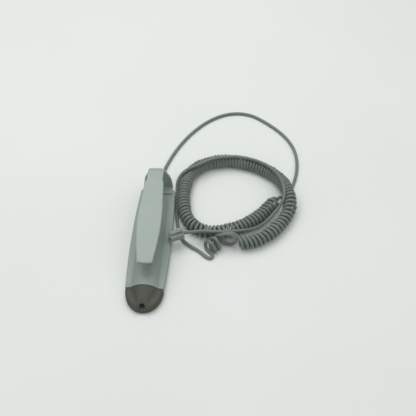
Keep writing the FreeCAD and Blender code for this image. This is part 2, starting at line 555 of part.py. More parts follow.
TAIL = [(46.2, -7.9, 6.0), (40.5, -6.4, 2.2), (33.0, -2.4, 1.5), (26.8, 2.6, 1.5), (23.0, 9.5, 1.5), (20.2, 19.0, 1.5),
        (18.3, 31.0, 1.5), (17.3, 43.0, 1.5), (16.8, 52.0, 1.5), (15.9, 60.2, 1.9), (16.1, 68.6, 8.8), (23.3, 75.7, 13.9),
        (32.3, 81.6, 13.5), (40.2, 88.0, 13.4), (50.0, 93.0, 13.4), (59.0, 94.6, 13.4), (68.0, 95.6, 13.4), (80.8, 93.0, 13.4),
        (90.8, 88.5, 13.5), (99.7, 81.4, 13.8), (105.8, 71.8, 14.8), (109.1, 61.0, 16.0), (110.4, 50.0, 15.6),
        (109.0, 43.0, 12.6), (103.7, 37.6, 6.6), (95.4, 26.7, 4.0), (85.3, 16.9, 5.3), (72.9, 10.3, 9.8), (60.2, 6.4, 12.6),
        (50.8, 5.8, 12.6), (41.2, 7.0, 12.0)]
TAIL = TAIL + [(rear_axis.x, rear_axis.y, rear_axis.z)]
CR = D["cord_dia"] / 2
tube_node("cord_lead", LEAD, CR)
tube_node("cord_coil", COIL, D["coil_dia"] / 2)
tube_node("cord_tail", TAIL, CR)
print("plug rear", ["%.3f" % c for c in rear_axis], "dir", ["%.3f" % c for c in rear_dir])

doc.recompute()

bad = 0
for o in doc.Objects:
    st = [x for x in o.State if x in ("Invalid", "Error")]
    if st:
        print("STATE", o.Name, o.State)
        bad += 1
os.makedirs("parts", exist_ok=True)
for o in NODES:
    if o.Shape.isNull() or not o.Shape.isValid():
        print("BAD SHAPE", o.Label)
        bad += 1
    bb_ = o.Shape.BoundBox
    print("%-16s solids %d vol %.1f  x %.1f..%.1f y %.1f..%.1f z %.2f..%.2f" % (o.Label, len(o.Shape.Solids), o.Shape.Volume, bb_.XMin, bb_.XMax, bb_.YMin, bb_.YMax, bb_.ZMin, bb_.ZMax))
    o.Shape.exportStep("parts/%s.step" % o.Label)
if bad:
    raise RuntimeError("%d objects are not good" % bad)
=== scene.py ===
import math

import bpy
import bmesh
import numpy as np
from mathutils import Matrix, Vector


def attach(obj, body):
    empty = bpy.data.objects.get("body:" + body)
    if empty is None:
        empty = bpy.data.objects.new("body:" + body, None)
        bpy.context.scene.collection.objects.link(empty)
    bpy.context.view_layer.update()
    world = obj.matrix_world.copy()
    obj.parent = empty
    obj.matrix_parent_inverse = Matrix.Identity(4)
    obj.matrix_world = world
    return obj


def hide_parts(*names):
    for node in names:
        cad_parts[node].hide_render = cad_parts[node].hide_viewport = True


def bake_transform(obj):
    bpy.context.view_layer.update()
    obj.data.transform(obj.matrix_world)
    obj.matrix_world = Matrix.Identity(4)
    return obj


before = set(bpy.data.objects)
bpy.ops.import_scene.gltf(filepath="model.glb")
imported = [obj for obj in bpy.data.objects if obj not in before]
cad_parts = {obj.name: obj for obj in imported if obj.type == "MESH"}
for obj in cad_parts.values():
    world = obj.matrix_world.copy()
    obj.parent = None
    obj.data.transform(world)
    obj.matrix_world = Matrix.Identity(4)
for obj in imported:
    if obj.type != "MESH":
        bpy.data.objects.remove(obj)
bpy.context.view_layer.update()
scene = bpy.context.scene
scene.view_settings.view_transform = "Standard"
scene.view_settings.look = "None"

# ---------------------------------------------------------------- camera
cam = bpy.data.cameras.new("camera")
cam.sensor_width = 36.0
cam.lens = 60.577
camera = bpy.data.objects.new("camera", cam)
scene.collection.objects.link(camera)
camera.location = (0.06743, -0.36575, 0.45480)
camera.rotation_euler = (Vector((0.04457, 0.04313, 0.0)) - camera.location).to_track_quat("-Z", "Y").to_euler()
scene.camera = camera


# ---------------------------------------------------------------- node helpers
def srgb(r, g, b):
    def lin(c):
        c /= 255.0
        return c / 12.92 if c <= 0.04045 else ((c + 0.055) / 1.055) ** 2.4
    return (lin(r), lin(g), lin(b), 1.0)


class Nodes:
    """A small wrapper that wires up one node tree."""

    def __init__(self, name):
        self.mat = bpy.data.materials.new(name)
        self.mat.use_nodes = True
        self.t = self.mat.node_tree
        self.t.nodes.clear()
        self.out = self.t.nodes.new("ShaderNodeOutputMaterial")
        self.bsdf = self.t.nodes.new("ShaderNodeBsdfPrincipled")
        self.t.links.new(self.bsdf.outputs[0], self.out.inputs[0])
        self.co = self.t.nodes.new("ShaderNodeTexCoord").outputs["Object"]

    def put(self, socket, value):
        if isinstance(value, bpy.types.NodeSocket):
            self.t.links.new(value, socket)
        elif value is not None:
            socket.default_value = value

    def noise(self, scale, detail=3.0, rough=0.5, distort=0.0, co=None):
        n = self.t.nodes.new("ShaderNodeTexNoise")
        self.put(n.inputs["Vector"], co or self.co)
        n.inputs["Scale"].default_value = scale
        n.inputs["Detail"].default_value = detail
        n.inputs["Roughness"].default_value = rough
        n.inputs["Distortion"].default_value = distort
        return n.outputs[0]

    def voronoi(self, scale, co=None, feature="F1"):
        n = self.t.nodes.new("ShaderNodeTexVoronoi")
        n.feature = feature
        self.put(n.inputs["Vector"], co or self.co)
        n.inputs["Scale"].default_value = scale
        return n.outputs["Distance"]

    def stretch(self, sx, sy, sz):
        n = self.t.nodes.new("ShaderNodeMapping")
        self.put(n.inputs["Vector"], self.co)
        n.inputs["Scale"].default_value = (sx, sy, sz)
        return n.outputs[0]

    def ramp(self, fac, a, b, lo=0.3, hi=0.7):
        n = self.t.nodes.new("ShaderNodeMapRange")
        self.put(n.inputs["Value"], fac)
        n.inputs["From Min"].default_value = lo
        n.inputs["From Max"].default_value = hi
        n.inputs["To Min"].default_value = a
        n.inputs["To Max"].default_value = b
        return n.outputs[0]

    def math(self, op, a, b=None):
        n = self.t.nodes.new("ShaderNodeMath")
        n.operation = op
        self.put(n.inputs[0], a)
        self.put(n.inputs[1], b)
        return n.outputs[0]

    def mix(self, fac, a, b, blend="MIX"):
        n = self.t.nodes.new("ShaderNodeMix")
        n.data_type = "RGBA"
        n.blend_type = blend
        self.put(n.inputs[0], fac)
        self.put(n.inputs[6], a)
        self.put(n.inputs[7], b)
        return n.outputs[2]

    def edge(self, lo=0.52, hi=0.62):
        """1 on worn convex edges, 0 elsewhere."""
        g = self.t.nodes.new("ShaderNodeNewGeometry").outputs["Pointiness"]
        return self.ramp(g, 0.0, 1.0, lo, hi)

    def bump(self, height, strength, dist=0.0002):
        n = self.t.nodes.new("ShaderNodeBump")
        n.inputs["Strength"].default_value = strength
        n.inputs["Distance"].default_value = dist
        self.put(n.inputs["Height"], height)
        return n.outputs[0]

    def done(self, colour, rough, normal=None, **kw):
        self.put(self.bsdf.inputs["Base Color"], colour)
        self.put(self.bsdf.inputs["Roughness"], rough)
        if normal is not None:
            self.put(self.bsdf.inputs["Normal"], normal)
        for k, v in kw.items():
            self.bsdf.inputs[k.replace("_", " ")].default_value = v
        return self.mat


def moulded(name, a, b, edge_col, rough=(0.34, 0.5), grain=2600.0, bump=0.25, spec=0.45, coat=0.0, wear=0.35, scale=38.0):
    """Spark-eroded moulded plastic: cloudy tint, fine grain, faint flow lines, edges rubbed lighter."""
    n = Nodes(name)
    cloud = n.noise(scale, 5.0, 0.55, 0.4)
    flow = n.noise(90.0, 4.0, 0.6, 0.2, n.stretch(3.0, 0.5, 1.5))
    col = n.mix(n.ramp(cloud, 0.0, 1.0, 0.35, 0.68), a, b)
    specks = n.ramp(n.voronoi(900.0), 1.0, 0.0, 0.04, 0.16)
    col = n.mix(n.math("MULTIPLY", specks, 0.22), col, edge_col)
    col = n.mix(n.math("MULTIPLY", n.edge(), wear), col, edge_col)
    fine = n.noise(grain, 3.0, 0.65)
    pits = n.voronoi(grain * 0.55)
    height = n.math("ADD", n.math("MULTIPLY", fine, 0.7), n.math("MULTIPLY", pits, 0.5))
    height = n.math("ADD", height, n.math("MULTIPLY", flow, 0.25))
    ro = n.math("ADD", n.ramp(cloud, rough[0], rough[1], 0.3, 0.7), n.ramp(fine, -0.04, 0.06, 0.3, 0.7))
    return n.done(col, ro, n.bump(height, bump, 0.00012), Specular_IOR_Level=spec, Coat_Weight=coat, Coat_Roughness=0.25)


def metal(name, a, b, rough=(0.22, 0.38), brushed=(1.0, 1.0, 1.0), scale=500.0):
    n = Nodes(name)
    st = n.noise(scale, 4.0, 0.6, 0.1, n.stretch(*brushed))
    blot = n.noise(260.0, 4.0, 0.6)
    col = n.mix(n.ramp(blot, 0.0, 1.0, 0.35, 0.7), a, b)
    return n.done(col, n.ramp(st, rough[0], rough[1]), n.bump(st, 0.3, 0.00005), Metallic=1.0)


def clear_plastic(name, tint, rough=(0.04, 0.14)):
    """Clear moulded polycarbonate with faint flow waves and scuffs."""
    n = Nodes(name)
    wave = n.noise(420.0, 3.0, 0.55, 0.6)
    scuff = n.noise(1500.0, 5.0, 0.7, 0.0, n.stretch(1.0, 5.0, 1.0))
    col = n.mix(n.ramp(scuff, 0.0, 1.0, 0.45, 0.75), tint, (0.93, 0.96, 0.95, 1.0))
    ro = n.math("ADD", n.ramp(wave, rough[0], rough[1]), n.ramp(scuff, 0.0, 0.16, 0.55, 0.8))
    return n.done(col, ro, n.bump(wave, 0.35, 0.0002), Transmission_Weight=0.62, IOR=1.42, Specular_IOR_Level=0.35)


def jacket(name, a, b, along=None):
    """Extruded soft jacket: satin skin, fine drawn lines, dusty patches and small scuffs."""
    n = Nodes(name)
    big = n.noise(30.0, 4.0, 0.55, 0.3)
    mid = n.noise(420.0, 5.0, 0.65, 0.2)
    fine = n.noise(2800.0, 3.0, 0.6)
    col = n.mix(n.ramp(big, 0.0, 1.0, 0.36, 0.66), a, b)
    dust = n.ramp(mid, 0.0, 0.5, 0.52, 0.74)
    col = n.mix(dust, col, tuple(min(1.0, x * 1.28 + 0.012) for x in b[:3]) + (1.0,))
    scratch = n.ramp(n.noise(1300.0, 2.0, 0.5, 1.2), 0.0, 0.35, 0.62, 0.72)
    col = n.mix(scratch, col, tuple(x * 0.72 for x in a[:3]) + (1.0,))
    ro = n.math("ADD", n.ramp(mid, 0.42, 0.56), n.ramp(fine, -0.03, 0.05))
    h = n.math("ADD", n.math("MULTIPLY", fine, 0.6), n.math("MULTIPLY", mid, 0.6))
    return n.done(col, ro, n.bump(h, 0.28, 0.00012), Specular_IOR_Level=0.42, Sheen_Weight=0.12, Sheen_Roughness=0.5)


M_SHELL = moulded("shell_plastic", srgb(139, 152, 145), srgb(147, 159, 151), srgb(178, 189, 182))
M_CLIP = moulded("clip_plastic", srgb(153, 166, 159), srgb(162, 173, 166), srgb(188, 198, 192))
M_CAP = moulded("cap_plastic", srgb(72, 74, 66), srgb(83, 84, 75), srgb(112, 114, 104), rough=(0.5, 0.62), spec=0.3, wear=0.2, scale=55.0)
# Dark pad colours are painted shade: they stand for the shade that falls under the clip's tip.
M_PAD_PAINTED_SHADE = moulded("pad_rubber", srgb(70, 78, 74), srgb(82, 90, 85), srgb(104, 112, 107), rough=(0.6, 0.75), grain=1900.0, bump=0.4, spec=0.3)
M_BOOT = moulded("boot_rubber", srgb(98, 106, 101), srgb(110, 118, 112), srgb(134, 142, 137), rough=(0.5, 0.64), grain=2100.0, bump=0.35, spec=0.35)
M_CORD = jacket("cord_jacket", srgb(106, 116, 109), srgb(118, 127, 120))
M_BRASS = metal("socket_brass", srgb(196, 168, 104), srgb(168, 138, 80), brushed=(1.0, 6.0, 1.0))
M_NUT = metal("nut_steel", srgb(176, 178, 178), srgb(150, 152, 152))
M_SCREW = metal("screw_steel", srgb(150, 152, 152), srgb(112, 114, 116), rough=(0.28, 0.45), scale=900.0)
M_GOLD = metal("contact_gold", srgb(224, 176, 92), srgb(196, 142, 70), rough=(0.14, 0.3), scale=1200.0)
M_CLEAR = clear_plastic("plug_clear", srgb(176, 186, 181), (0.24, 0.38))
M_BOARD = moulded("board_laminate", srgb(40, 92, 62), srgb(48, 104, 70), srgb(90, 140, 104), rough=(0.3, 0.4), grain=1500.0, bump=0.2)
M_RES = moulded("resistor_body", srgb(196, 176, 140), srgb(206, 188, 152), srgb(220, 206, 178))
M_CHIP = moulded("chip_black", srgb(34, 35, 36), srgb(42, 43, 44), srgb(70, 71, 72), rough=(0.5, 0.62))
M_HEAD = moulded("header_white", srgb(222, 220, 208), srgb(230, 228, 218), srgb(240, 239, 232))
M_WIRE = moulded("wire_sleeve", srgb(116, 124, 60), srgb(128, 134, 72), srgb(150, 154, 100), rough=(0.36, 0.48))
M_NYLON = moulded("clamp_nylon", srgb(206, 206, 196), srgb(214, 214, 206), srgb(230, 230, 224))
M_OLIVE = moulded("conductor_olive", srgb(104, 104, 52), srgb(122, 120, 66), srgb(150, 148, 96), rough=(0.36, 0.5))

SLOT_MAT = {"shell_plastic": M_SHELL, "clip_plastic": M_CLIP, "cap_plastic": M_CAP, "socket_brass": M_BRASS, "nut_steel": M_NUT,
            "board_laminate": M_BOARD, "screw_steel": M_SCREW, "resistor_body": M_RES, "chip_black": M_CHIP, "header_white": M_HEAD,
            "wire_sleeve": M_WIRE, "clamp_nylon": M_NYLON, "cord_jacket": M_CORD, "boot_rubber": M_BOOT, "pad_rubber": M_PAD_PAINTED_SHADE,
            "plug_clear": M_CLEAR, "contact_gold": M_GOLD, "conductor_olive": M_OLIVE}
NODE_MAT = {"lower_shell": M_SHELL, "upper_shell": M_SHELL, "nose_cap": M_CAP, "ground_socket": M_BRASS, "socket_nut": M_NUT,
            "circuit_board": M_BOARD, "housing_screws": M_SCREW, "board_screws": M_SCREW, "series_resistor": M_RES,
            "interface_chip": M_CHIP, "cord_header": M_HEAD, "cord_conductors": M_WIRE, "socket_wire": M_WIRE,
            "cord_clamp": M_NYLON, "clamp_screws": M_SCREW, "cord_entry": M_CORD, "strain_relief": M_BOOT, "clip_root": M_CLIP,
            "clip_screws": M_SCREW, "clip_arm": M_CLIP, "grip_pad": M_PAD_PAINTED_SHADE, "plug_housing": M_CLEAR, "plug_contacts": M_GOLD,
            "plug_conductors": M_OLIVE, "plug_wedge": M_CLEAR, "plug_jacket": M_CORD, "plug_latch": M_CLEAR,
            "cord_lead": M_CORD, "cord_coil": M_CORD, "cord_tail": M_CORD}
for node_name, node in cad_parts.items():
    node.data.materials.clear()
    node.data.materials.append(NODE_MAT[node_name])

for node_name in ("plug_housing", "plug_latch", "plug_wedge"):
    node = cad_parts[node_name]
    weld = node.modifiers.new("weld", "WELD")
    weld.merge_threshold = 0.00001
    soft_edge = node.modifiers.new("soft_edges", "BEVEL")
    soft_edge.width = 0.0003
    soft_edge.segments = 3
    soft_edge.limit_method = "ANGLE"
    soft_edge.angle_limit = math.radians(35)


# ---------------------------------------------------------------- mesh helpers
def mesh_object(name, verts, faces, material, smooth=True):
    me = bpy.data.meshes.new(name)
    me.from_pydata([tuple(v) for v in verts], [], [tuple(f) for f in faces])
    me.validate()
    bm = bmesh.new()
    bm.from_mesh(me)
    bmesh.ops.recalc_face_normals(bm, faces=bm.faces)
    bm.to_mesh(me)
    bm.free()
    ob = bpy.data.objects.new(name, me)
    scene.collection.objects.link(ob)
    me.materials.append(material)
    for p in me.polygons:
        p.use_smooth = smooth
    return ob


def loft(name, rings, material, caps=True, smooth=True, sharp=None):
    """Closed rings joined by quads, with a fan over each end."""
    rings = [np.asarray(r, float) for r in rings]
    n = len(rings[0])
    verts = [tuple(p) for r in rings for p in r]
    faces = []
    for i in range(len(rings) - 1):
        for j in range(n):
            k = (j + 1) % n
            faces.append((i * n + j, i * n + k, (i + 1) * n + k, (i + 1) * n + j))
    if caps:
        for i in (0, len(rings) - 1):
            c = len(verts)
            verts.append(tuple(rings[i].mean(axis=0)))
            for j in range(n):
                k = (j + 1) % n
                faces.append((i * n + j, i * n + k, c))
    ob = mesh_object(name, verts, faces, material, smooth)
    if sharp is not None:
        sharpen(ob, sharp)
    return ob


def sharpen(ob, degrees):
    """Marks edges sharper than the angle, so that smooth shading stops there."""
    bm = bmesh.new()
    bm.from_mesh(ob.data)
    lim = math.radians(degrees)
    for e in bm.edges:
        e.smooth = not (len(e.link_faces) == 2 and e.calc_face_angle(0.0) > lim)
    bm.to_mesh(ob.data)
    bm.free()


def smooth_path(line, step):
    """The same line with points about step apart."""
    d = np.concatenate([[0], np.cumsum(np.linalg.norm(np.diff(line, axis=0), axis=1))])
    at = np.linspace(0, d[-1], max(3, int(round(d[-1] / step)) + 1))
    return np.stack([np.interp(at, d, line[:, k]) for k in range(3)], axis=1)


def tube(name, path, radius, sides, material):
    """A round tube whose ring centres are the path's points. radius is a number or one per point."""
    path = np.asarray(path, float)
    t = np.gradient(path, axis=0)
    t /= np.linalg.norm(t, axis=1)[:, None]
    n = np.cross(t[0], (0.31, 0.87, 0.38))
    n /= np.linalg.norm(n)
    rad = np.full(len(path), radius) if np.isscalar(radius) else np.asarray(radius)
    ang = np.linspace(0, 2 * math.pi, sides, endpoint=False)
    rings = []
    for i, p in enumerate(path):
        n = n - t[i] * (n @ t[i])
        n /= np.linalg.norm(n)
        b = np.cross(t[i], n)
        rings.append(p + rad[i] * (np.cos(ang)[:, None] * n + np.sin(ang)[:, None] * b))
    return loft(name, rings, material)


def route_line(name, points):
    """The points of a route's own smooth spline, in metres."""
    cu = bpy.data.curves.new(name, "CURVE")
    cu.dimensions = "3D"
    sp = cu.splines.new("NURBS")
    sp.points.add(len(points) - 1)
    for p, q in zip(sp.points, points):
        p.co = (q[0], q[1], q[2], 1.0)
    sp.order_u = 3
    sp.use_endpoint_u = True
    cu.resolution_u = 24
    ob = bpy.data.objects.new(name, cu)
    me = bpy.data.meshes.new_from_object(ob)
    line = np.array([v.co for v in me.vertices], float)
    bpy.data.meshes.remove(me)
    bpy.data.objects.remove(ob)
    bpy.data.curves.remove(cu)
    return line


# ---------------------------------------------------------------- the cord
LEAD = [(0, 0.0693, 0.0034), (0.0006, 0.0785, 0.0017), (0.0034, 0.0915, 0.0015), (0.0106, 0.1135, 0.0015),
        (0.022, 0.136, 0.0015), (0.0385, 0.157, 0.0015), (0.0585, 0.1695, 0.0015), (0.0795, 0.169, 0.0015),
        (0.098, 0.155, 0.0015), (0.1135, 0.1385, 0.0015), (0.1225, 0.119, 0.0015), (0.1242, 0.099, 0.0015),
        (0.1214, 0.08, 0.0015), (0.1166, 0.066, 0.0015), (0.111, 0.057, 0.002), (0.1053, 0.0524, 0.006)]
COIL = [(0.1053, 0.0524, 0.006), (0.0979, 0.0425, 0.006), (0.0864, 0.027, 0.006), (0.0697, 0.0159, 0.006),
        (0.0523, 0.0099, 0.006), (0.037, 0.0129, 0.006), (0.0273, 0.0242, 0.006), (0.0229, 0.0424, 0.006),
        (0.0227, 0.0629, 0.006), (0.0267, 0.0799, 0.006), (0.0382, 0.092, 0.006), (0.0572, 0.098, 0.006),
        (0.0774, 0.0957, 0.006), (0.0966, 0.0864, 0.006), (0.1078, 0.0755, 0.0065), (0.1134, 0.0598, 0.0097),
        (0.1158, 0.0468, 0.0095), (0.1145, 0.0362, 0.0063), (0.1075, 0.0225, 0.006), (0.0949, 0.0081, 0.006),
        (0.0825, 0.0018, 0.006), (0.0718, 0.0008, 0.006), (0.063, 0.0025, 0.006), (0.0536, -0.0006, 0.006),
        (0.0462, -0.0079, 0.006)]
TAIL = [(0.0508, -0.0092, 0.0015), (0.0518, -0.0120, 0.0015), (0.0494, -0.0138, 0.0015), (0.0462, -0.0124, 0.0015), (0.0400, -0.0062, 0.0015), (0.033, -0.0024, 0.0015), (0.0268, 0.0026, 0.0015),
        (0.023, 0.0095, 0.0015), (0.0202, 0.019, 0.0015), (0.0183, 0.031, 0.0015), (0.0173, 0.043, 0.0015),
        (0.0168, 0.052, 0.0015), (0.0159, 0.0602, 0.0019), (0.0161, 0.0686, 0.0088), (0.0233, 0.0757, 0.0139),
        (0.0323, 0.0816, 0.0135), (0.0402, 0.088, 0.0134), (0.05, 0.093, 0.0134), (0.059, 0.0946, 0.0134),
        (0.068, 0.0956, 0.0134), (0.0808, 0.093, 0.0134), (0.0908, 0.0885, 0.0135), (0.0997, 0.0814, 0.0138),
        (0.1058, 0.0718, 0.0148), (0.1091, 0.061, 0.016), (0.1104, 0.05, 0.0156), (0.109, 0.043, 0.0126),
        (0.1037, 0.0376, 0.0066), (0.0954, 0.0267, 0.004), (0.0853, 0.0169, 0.0053), (0.0729, 0.0103, 0.0098),
        (0.0602, 0.0064, 0.0126), (0.0508, 0.0058, 0.0126), (0.0412, 0.007, 0.012), (0.026285, 0.003657, 0.011914)]
CORD_R = 0.0014
TURN_R = 0.0046
# distance along the coil (m), pitch of the turns there (m)
PITCH = [(0.0, 0.0062), (0.008, 0.0044), (0.015, 0.0038), (0.037, 0.0034), (0.058, 0.0037), (0.077, 0.0038), (0.095, 0.0038), (0.115, 0.0035),
         (0.140, 0.0031), (0.162, 0.0030), (0.200, 0.0030), (0.239, 0.0030), (0.259, 0.0031), (0.283, 0.0041), (0.306, 0.0039),
         (0.330, 0.0039), (0.345, 0.0036), (0.360, 0.0034)]


def coiled(axis):
    """The wound cord round the coil's axis: tight turns, a loose one at its start, and at its end an open ring and three fanned turns."""
    step = 0.0001
    axis = smooth_path(axis, step)
    t = np.gradient(axis, axis=0)
    t[:, 2] = 0
    t /= np.linalg.norm(t, axis=1)[:, None]
    total = step * (len(axis) - 1)
    s = np.linspace(0, total, len(axis))
    at = np.array([p[0] for p in PITCH]) * total / 0.379
    pitch = np.interp(s, at, [p[1] for p in PITCH])
    turns = np.cumsum(step / pitch)
    turns -= turns[0]
    n_end = math.floor(np.interp(END_S * total, s, turns))
    up = np.array([0, 0, 1.0])
    # by turn number, ending at the top of the last tight turn
    n = np.arange(0, n_end + 0.5, 1 / 40.0)
    s_n = np.interp(n, turns, s)
    c = np.stack([np.interp(s_n, s, axis[:, j]) for j in range(3)], axis=1)
    face = np.unwrap(np.arctan2(np.interp(s_n, s, t[:, 1]), np.interp(s_n, s, t[:, 0])))
    face = face + YAW_END * np.clip((n - n_end + 8) / 8, 0, 1) ** 1.3
    # each turn is a little different, as in a cord that has been pulled and let go
    half = TURN_R + 0.00018 * np.sin(n * 0.83 + 1.0) + 0.00013 * np.sin(n * 2.17)
    # start: the lead swings out to the turns within its first turn
    grow = np.clip(n / 1.1, 0, 1)
    grow = (grow * grow * (3 - 2 * grow))
    phi = (2 * math.pi * n + START_PHI)[:, None]
    across = np.stack([np.sin(face), -np.cos(face), np.zeros(len(face))], axis=1)
    wound = c + (grow * half)[:, None] * (np.cos(phi) * up + np.sin(phi) * across)
    return np.concatenate([wound, weave(wound[-1], wound[-1] - wound[-2])])


def weave(start, heading):
    """The loose end: one open ring, then three turns that fan out and lie down towards the tail."""
    pts = [start, (0.0698, 0.0034, 0.0124), (0.0668, 0.0040, 0.0138)]
    side, on = np.array([-0.985, 0.17, 0.0]), np.array([-0.03, 0.67, -0.74])
    for k in range(20, 361, 20):
        q = math.radians(k)
        pts.append(np.array(RING) + RING_R * (math.cos(q) * np.array([0, 0, 1.0]) + math.sin(q) * side) + on * 0.0031 * (0.5 - k / 360.0))
    pts += [(x / 1000.0, y / 1000.0, z / 1000.0) for x, y, z in FAN]
    pts = np.array([tuple(p) for p in pts])
    pts = np.concatenate([[start - heading / np.linalg.norm(heading) * 0.003], pts, [2 * pts[-1] - pts[-2]]])
    out = []
    for a, b, c, d in zip(pts, pts[1:], pts[2:], pts[3:]):
        for u in np.linspace(0, 1, 14, endpoint=False)[(1 if len(out) == 0 else 0):]:
            out.append(0.5 * (2 * b + (c - a) * u + (2 * a - 5 * b + 4 * c - d) * u * u + (3 * b - a - 3 * c + d) * u ** 3))
    out = np.array(out)
    for _ in range(16):
        out[1:-1] = out[1:-1] * 0.5 + 0.25 * (out[:-2] + out[2:])
    return out


END_S = 0.922
YAW_END = math.radians(26)
START_PHI = math.radians(180)
RING, RING_R = (0.0634, 0.0023, 0.0083), 0.0067
# the way down from the ring, in mm: over the top, down the far side, along the floor and up the near side of each turn
FAN = [(57.4, 1.6, 14.0), (53.2, 3.6, 9.0), (53.0, 0.8, 2.9), (56.2, -3.6, 1.5), (56.8, -4.6, 5.6), (53.8, -1.2, 11.8),
       (49.2, 1.6, 8.4), (49.4, -2.0, 2.5), (53.4, -6.4, 1.5), (53.6, -7.6, 5.2), (49.6, -4.6, 11.0),
       (45.2, -0.8, 7.4), (45.2, -3.2, 2.3), (48.6, -6.8, 1.5)]


def join(a, b, mm=0.004):
    """Two lines run into one with a short soft blend between them."""
    ta = a[-1] - a[-6]
    tb = b[5] - b[0]
    ta /= np.linalg.norm(ta)
    tb /= np.linalg.norm(tb)
    gap = np.linalg.norm(b[0] - a[-1])
    k = max(gap, 0.0004)
    u = np.linspace(0, 1, 24)[1:-1, None]
    h = ((2 * u ** 3 - 3 * u ** 2 + 1) * a[-1] + (u ** 3 - 2 * u ** 2 + u) * k * ta + (-2 * u ** 3 + 3 * u ** 2) * b[0] + (u ** 3 - u ** 2) * k * tb)
    return np.concatenate([a, h, b])


def settle(line, rounds):
    """Rounds the joints of a line a little, its ends held."""
    for _ in range(rounds):
        line[1:-1] = line[1:-1] * 0.5 + 0.25 * (line[:-2] + line[2:])
    return line


lead_line = smooth_path(route_line("lead_route", LEAD), 0.0006)
coil_line = smooth_path(coiled(route_line("coil_route", COIL)), 0.0004)
tail_line = smooth_path(route_line("tail_route", TAIL), 0.0006)
whole = join(join(lead_line[:-12], coil_line), tail_line)
whole = smooth_path(settle(smooth_path(whole, 0.0004), 10), 0.00095)
whole[:, 2] = np.maximum(whole[:, 2], CORD_R + 0.00005)
cord = tube("coiled_cord", whole, CORD_R, 12, M_CORD)
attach(cord, "hand_unit")
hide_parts("cord_lead", "cord_coil", "cord_tail")

# ---------------------------------------------------------------- plan of the housing
HW, MID_Y, REAR_Y, SEAM_Y, NOSE_Y = 0.0168, 0.0005, 0.0575, -0.050, -0.0693
HALF_REAR = 0.0146
SIDE_R = ((REAR_Y - MID_Y) ** 2 + (HW - HALF_REAR) ** 2) / (2 * (HW - HALF_REAR))
DECK = 0.007
DOME_HALF, DOME_RISE = 0.011, 0.0052


def plan_half(y):
    h = HW - SIDE_R + math.sqrt(SIDE_R ** 2 - (y - MID_Y) ** 2)
    c = 0.004
    if y > REAR_Y - c:
        h0 = HW - SIDE_R + math.sqrt(SIDE_R ** 2 - (REAR_Y - c - MID_Y) ** 2)
        h = h0 - c + math.sqrt(max(c * c - (y - (REAR_Y - c)) ** 2, 0.0))
    return h


def bow(x, half, rise):
    """Height of a circular segment of that half width and rise."""
    if rise < 1e-7 or abs(x) >= half:
        return 0.0
    r = (half * half + rise * rise) / (2 * rise)
    return rise - r + math.sqrt(r * r - x * x)


def soft_max(a, b, k):
    h = max(k - abs(a - b), 0.0) / k
    return max(a, b) + h * h * k / 4


def ease(a, b, v):
    u = min(max((v - a) / (b - a), 0.0), 1.0)
    return u * u * (3 - 2 * u)


def edge_drop(d, r):
    """How far a rounded edge has fallen at distance d inside it."""
    return 0.0 if d >= r else r - math.sqrt(max(r * r - (r - d) ** 2, 0.0))


def deck_height(x, y):
    """Top of the housing between the nose cap and the clip."""
    far = 1.0 if y < 0.0375 else math.sqrt(max(1 - ((y - 0.0375) / 0.0055) ** 2, 0.0))
    wide = DOME_HALF * (0.86 + 0.14 * far)
    z = DECK + bow(x, wide, DOME_RISE * far)
    z = soft_max(DECK, z, 0.0009) if far > 0.02 and abs(x) < wide + 0.0012 else z
    groove = math.exp(-(x / 0.0031) ** 2) * ease(-0.0445, -0.0385, y) * (1 - ease(0.024, 0.031, y))
    z -= 0.00062 * groove
    shoulder = math.exp(-((abs(x) - 0.0052) / 0.0017) ** 2) * ease(-0.0445, -0.0385, y) * (1 - ease(0.024, 0.031, y))
    z += 0.00012 * shoulder
    lip = math.exp(-((y - SEAM_Y - 0.0010) / 0.0009) ** 2)
    return z + 0.00034 * lip


# ---------------------------------------------------------------- top half of the housing
def top_ring(y):
    h = plan_half(min(y, REAR_Y - 1e-6))
    ref = plan_half(min(y, REAR_Y - 0.004))
    r = 0.0009
    inner = ref - r
    foot = min(0.0118, inner - 0.0004)
    xs = [ref - v for v in (0.0, 0.00007, 0.00026, 0.00055, 0.0009)]
    xs += list(np.linspace(inner, foot, 7)[1:-1]) + list(np.linspace(foot, 0.0102, 9))
    xs += list(np.linspace(0.0102, 0.0, 17)[1:])
    xs = np.array(xs)
    half = np.concatenate([xs, -xs[::-1][1:]]) * (h / ref)
    ring = []
    for x in half:
        d = min(h - abs(x), REAR_Y - y, )
        ring.append((x, y, deck_height(x, y) - edge_drop(max(d, 0.0), r)))
    low = 0.00545
    ring += [(-h, y, 0.0059), (-h + 0.00012, y, low), (-h + 0.0012, y, low), (-h * 0.5, y, low), (0, y, low), (h * 0.5, y, low), (h - 0.0012, y, low), (h - 0.00012, y, low), (h, y, 0.0059)]
    return ring


ys = [SEAM_Y + 0.00012 + v for v in (0.0, 0.0001, 0.0004, 0.0007, 0.0010, 0.0013, 0.0017, 0.0022, 0.0030)]
ys += list(np.linspace(-0.0462, 0.0360, 84))
ys += list(np.linspace(0.0368, 0.0432, 22)) + list(np.linspace(0.044, 0.053, 8)) + list(np.linspace(0.0535, 0.0565, 9))
ys += [REAR_Y - v for v in (0.0009, 0.00062, 0.0004, 0.00022, 0.0001, 0.00002)]
top = loft("housing_top", [top_ring(y) for y in ys], M_SHELL, sharp=48)
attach(top, "hand_unit")
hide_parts("upper_shell")


# ---------------------------------------------------------------- nose cap
NOSE_W, NOSE_L = plan_half(SEAM_Y), SEAM_Y - NOSE_Y      # half an ellipse in plan


def rim_distance(x, y):
    """Distance inside the nose's outline, close to it."""
    u, v = x / NOSE_W, (y - SEAM_Y) / NOSE_L
    rho = math.hypot(u, v)
    if rho < 0.3:
        return 1.0
    slope = math.hypot(u / NOSE_W, v / NOSE_L) / rho
    return (1 - rho) / slope


